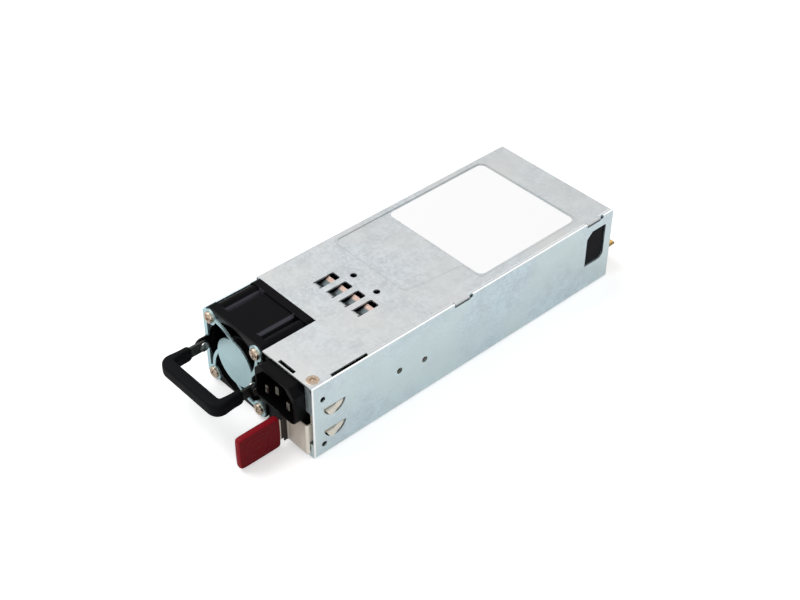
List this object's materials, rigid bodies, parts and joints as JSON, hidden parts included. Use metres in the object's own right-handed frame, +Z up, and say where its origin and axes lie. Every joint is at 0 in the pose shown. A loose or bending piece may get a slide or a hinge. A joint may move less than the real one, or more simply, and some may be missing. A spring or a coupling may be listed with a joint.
{
  "type": "hot swap server power supply",
  "caption": "Slim steel plug-in power supply with a front fan, folding handle, three-pin mains inlet, sprung release latch and a gold card edge at the rear.",
  "frame": {"origin": "centre of the case's bottom face", "axes": "+Y from the front (fan, handle and inlet) to the rear card edge, +Z up from the base to the cover, +X to the right seen from the front"},
  "size_m": [0.0749, 0.2233, 0.04],
  "materials": {
    "galvanised_steel": "zinc-coated sheet, fine spangle",
    "cover_steel": "zinc-coated sheet, fine spangle",
    "guard_steel": "zinc-coated sheet",
    "screw_nickel": "nickel-plated",
    "label_stock": "plain white film",
    "black_film": "insulating film",
    "fan_plastic": "moulded, glass-filled",
    "blade_plastic": "moulded",
    "magnet": "bonded ferrite",
    "bare_steel": "ground",
    "bearing_bronze": "sintered",
    "lamination": "stacked sheet",
    "copper": "enamelled wire",
    "black_steel": "black coated",
    "grip_rubber": "moulded over the strap",
    "inlet_plastic": "moulded",
    "pin_plating": "nickel-plated",
    "spring_steel": "stainless strip",
    "red_plastic": "moulded",
    "board": "solder-masked laminate",
    "gold": "gold-plated",
    "brass_insert": "turned",
    "ferrite": "pressed ferrite",
    "coated_core": "epoxy-coated",
    "grey_plastic": "moulded",
    "yellow_case": "moulded case",
    "blue_epoxy": "dipped",
    "fuse_ceramic": "ceramic tube",
    "dark_epoxy": "moulded epoxy",
    "sleeve": "shrink sleeve",
    "sealant": "cured silicone",
    "heatsink": "extruded",
    "tape": "polyester tape"
  },
  "bodies": {
    "chassis": {"chassis_tray": "galvanised_steel", "top_cover": "cover_steel", "rear_panel": "galvanised_steel", "cover_screw": "screw_nickel", "rating_label": "label_stock", "window_film": "black_film", "fan_guard": "guard_steel", "handle_bracket": "black_steel", "fan_screws": "screw_nickel", "fan_frame": "fan_plastic", "fan_bearings": "bearing_bronze", "fan_stator": "lamination", "fan_coils": "copper", "handle_rivets": "bare_steel", "inlet_housing": "inlet_plastic", "inlet_pins": "pin_plating", "inlet_board": "board", "latch_anchor": "spring_steel", "main_board": "board", "board_standoffs": "brass_insert", "board_screws": "screw_nickel", "card_board": "board", "gold_contacts": "gold", "filter_choke_core": "coated_core", "filter_choke_winding": "copper", "filter_choke_base": "grey_plastic", "suppression_capacitor": "yellow_case", "earth_capacitors": "blue_epoxy", "mains_fuse": "fuse_ceramic", "inrush_relay": "grey_plastic", "bridge_rectifier": "dark_epoxy", "pfc_choke_core": "coated_core", "pfc_choke_winding": "copper", "pfc_choke_base": "grey_plastic", "bulk_capacitor": "sleeve", "bulk_saddles": "sealant", "primary_heatsink": "heatsink", "power_switches": "dark_epoxy", "transformer_core": "ferrite", "transformer_winding": "tape", "resonant_core": "ferrite", "resonant_winding": "copper", "output_busbars": "copper", "output_heatsink": "heatsink", "output_capacitors": "sleeve", "control_board": "board", "control_chips": "dark_epoxy"},
    "handle": {"handle_strap": "black_steel", "handle_grip": "grip_rubber"},
    "latch": {"latch_spring": "spring_steel", "latch_tab": "red_plastic"},
    "rotor": {"fan_impeller": "blade_plastic", "rotor_magnet": "magnet", "fan_shaft": "bare_steel"}
  },
  "joints": [
    {"name": "handle_pivot", "type": "hinge", "parent": "chassis", "child": "handle", "pos_m": [-0.01585, -0.0967, 0.02], "axis": [-1, 0, 0], "range_deg": [-45, 75]},
    {"name": "latch_flex", "type": "hinge", "parent": "chassis", "child": "latch", "pos_m": [0.03505, -0.0495, 0.016], "axis": [0, 0, -1], "range_deg": [0, 2.8], "stiffness_Nm_per_rad": 5},
    {"name": "fan_spin", "type": "hinge", "parent": "chassis", "child": "rotor", "pos_m": [-0.01585, -0.0825, 0.02], "axis": [0, 1, 0], "continuous": true}
  ]
}
